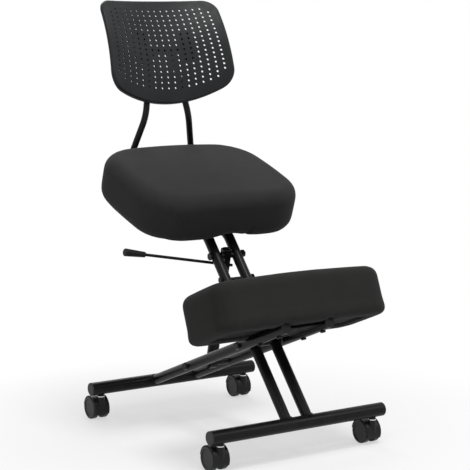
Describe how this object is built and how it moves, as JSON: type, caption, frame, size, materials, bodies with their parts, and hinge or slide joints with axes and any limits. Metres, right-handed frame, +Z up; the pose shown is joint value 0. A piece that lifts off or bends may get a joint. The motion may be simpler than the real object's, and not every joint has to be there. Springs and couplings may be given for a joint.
{
  "type": "kneeling chair",
  "caption": "Kneeling chair with padded seat and knee rest, perforated back, crossed tube frame held by a gas spring with a release lever, on twin-wheel casters.",
  "frame": {"origin": "on the floor, at the middle of the rectangle of the four caster stems", "axes": "+Z up, +Y to the back of the chair, +X to the sitter's left"},
  "size_m": [0.5189, 0.7106, 1.0293],
  "materials": {
    "frame_paint": "gloss black powder coat",
    "cap_plastic": "satin dark grey moulding",
    "pad_fabric": "dark charcoal woven cover",
    "board_wood": "plywood under a black lining cloth",
    "shell_plastic": "fine-grained dark grey moulding",
    "black_hardware": "black-finished steel",
    "bush_plastic": "black nylon",
    "bright_steel": "bright plated",
    "piston_steel": "machined",
    "grip_plastic": "black soft moulding",
    "hood_plastic": "black moulding with a slight gloss",
    "wheel_plastic": "black nylon"
  },
  "bodies": {
    "knee_frame": {"rear_bar": "frame_paint", "rear_bar_caps": "cap_plastic", "arm_right": "frame_paint", "arm_left": "frame_paint", "arm_plugs": "cap_plastic", "knee_plate": "frame_paint", "knee_board": "board_wood", "knee_cushion": "pad_fabric", "knee_bolts": "black_hardware", "scissor_bolt": "black_hardware", "spring_lower_pin": "black_hardware", "arm_nuts": "black_hardware", "lower_pin_spacers": "black_hardware", "rear_stems": "bright_steel"},
    "seat_frame": {"front_bar": "frame_paint", "front_bar_caps": "cap_plastic", "post_right": "frame_paint", "post_left": "frame_paint", "post_plugs": "cap_plastic", "scissor_bushes": "bush_plastic", "post_spacers": "black_hardware", "post_tie_bolt": "black_hardware", "spring_upper_pin": "black_hardware", "post_nuts": "black_hardware", "seat_board": "board_wood", "seat_cushion": "pad_fabric", "seat_screws": "black_hardware", "back_tube_screws": "black_hardware", "back_tube_right": "frame_paint", "back_tube_left": "frame_paint", "back_bracket": "frame_paint", "back_shell": "shell_plastic", "back_screws": "black_hardware", "front_stems": "bright_steel"},
    "gas_cylinder": {"spring_cylinder": "frame_paint", "spring_eye": "frame_paint"},
    "gas_rod": {"spring_rod": "bright_steel", "spring_piston": "piston_steel", "release_head": "frame_paint", "head_clip": "black_hardware", "lever_pin": "bright_steel"},
    "plunger": {"release_plunger": "bright_steel"},
    "lever": {"lever_rod": "frame_paint", "lever_grip": "grip_plastic"},
    "swivel_rear_right": {"caster_hood_rear_right": "hood_plastic", "caster_axle_rear_right": "bright_steel"},
    "wheel_rear_right_right": {"wheel_rear_right_right": "wheel_plastic"},
    "wheel_rear_right_left": {"wheel_rear_right_left": "wheel_plastic"},
    "swivel_rear_left": {"caster_hood_rear_left": "hood_plastic", "caster_axle_rear_left": "bright_steel"},
    "wheel_rear_left_right": {"wheel_rear_left_right": "wheel_plastic"},
    "wheel_rear_left_left": {"wheel_rear_left_left": "wheel_plastic"},
    "swivel_front_right": {"caster_hood_front_right": "hood_plastic", "caster_axle_front_right": "bright_steel"},
    "wheel_front_right_right": {"wheel_front_right_right": "wheel_plastic"},
    "wheel_front_right_left": {"wheel_front_right_left": "wheel_plastic"},
    "swivel_front_left": {"caster_hood_front_left": "hood_plastic", "caster_axle_front_left": "bright_steel"},
    "wheel_front_left_right": {"wheel_front_left_right": "wheel_plastic"},
    "wheel_front_left_left": {"wheel_front_left_left": "wheel_plastic"}
  },
  "joints": [
    {"name": "scissor", "type": "hinge", "parent": "knee_frame", "child": "seat_frame", "pos_m": [0, -0.13267, 0.24143], "axis": [1, 0, 0], "range_deg": [-7, 7]},
    {"name": "spring_foot", "type": "hinge", "parent": "knee_frame", "child": "gas_cylinder", "pos_m": [0, 0.09451, 0.15103], "axis": [1, 0, 0], "range_deg": [-3.6, 3.6]},
    {"name": "spring_stroke", "type": "slide", "parent": "gas_cylinder", "child": "gas_rod", "axis": [0, -0.236, 0.9718], "range_m": [-0.025, 0.025]},
    {"name": "lever_pull", "type": "hinge", "parent": "gas_rod", "child": "lever", "pos_m": [-0.0054, 0.04043, 0.40339], "axis": [0, 0.9718, 0.236], "range_deg": [0, 7], "stiffness_Nm_per_rad": 6, "springref_deg": -6.88},
    {"name": "plunger_press", "type": "slide", "parent": "gas_rod", "child": "plunger", "axis": [0, 0.236, -0.9718], "range_m": [0, 0.0008]},
    {"name": "swivel_rear_right", "type": "hinge", "parent": "knee_frame", "child": "swivel_rear_right", "pos_m": [-0.211, 0.273, 0.05], "axis": [0, 0, 1], "continuous": true},
    {"name": "roll_rear_right_right", "type": "hinge", "parent": "swivel_rear_right", "child": "wheel_rear_right_right", "pos_m": [-0.211, 0.295, 0.0275], "axis": [1, 0, 0], "continuous": true},
    {"name": "roll_rear_right_left", "type": "hinge", "parent": "swivel_rear_right", "child": "wheel_rear_right_left", "pos_m": [-0.211, 0.295, 0.0275], "axis": [1, 0, 0], "continuous": true},
    {"name": "swivel_rear_left", "type": "hinge", "parent": "knee_frame", "child": "swivel_rear_left", "pos_m": [0.211, 0.273, 0.05], "axis": [0, 0, 1], "continuous": true},
    {"name": "roll_rear_left_right", "type": "hinge", "parent": "swivel_rear_left", "child": "wheel_rear_left_right", "pos_m": [0.211, 0.295, 0.0275], "axis": [1, 0, 0], "continuous": true},
    {"name": "roll_rear_left_left", "type": "hinge", "parent": "swivel_rear_left", "child": "wheel_rear_left_left", "pos_m": [0.211, 0.295, 0.0275], "axis": [1, 0, 0], "continuous": true},
    {"name": "swivel_front_right", "type": "hinge", "parent": "seat_frame", "child": "swivel_front_right", "pos_m": [-0.211, -0.273, 0.05], "axis": [0, 0, 1], "continuous": true},
    {"name": "roll_front_right_right", "type": "hinge", "parent": "swivel_front_right", "child": "wheel_front_right_right", "pos_m": [-0.211, -0.251, 0.0275], "axis": [1, 0, 0], "continuous": true},
    {"name": "roll_front_right_left", "type": "hinge", "parent": "swivel_front_right", "child": "wheel_front_right_left", "pos_m": [-0.211, -0.251, 0.0275], "axis": [1, 0, 0], "continuous": true},
    {"name": "swivel_front_left", "type": "hinge", "parent": "seat_frame", "child": "swivel_front_left", "pos_m": [0.211, -0.273, 0.05], "axis": [0, 0, 1], "continuous": true},
    {"name": "roll_front_left_right", "type": "hinge", "parent": "swivel_front_left", "child": "wheel_front_left_right", "pos_m": [0.211, -0.251, 0.0275], "axis": [1, 0, 0], "continuous": true},
    {"name": "roll_front_left_left", "type": "hinge", "parent": "swivel_front_left", "child": "wheel_front_left_left", "pos_m": [0.211, -0.251, 0.0275], "axis": [1, 0, 0], "continuous": true}
  ],
  "couplings": [
    {"joint": "spring_foot", "follows": "scissor", "ratio": 0.5},
    {"joint": "spring_stroke", "follows": "scissor", "m_per_rad": 0.19942},
    {"joint": "plunger_press", "follows": "lever_pull", "m_per_rad": 0.0065}
  ]
}
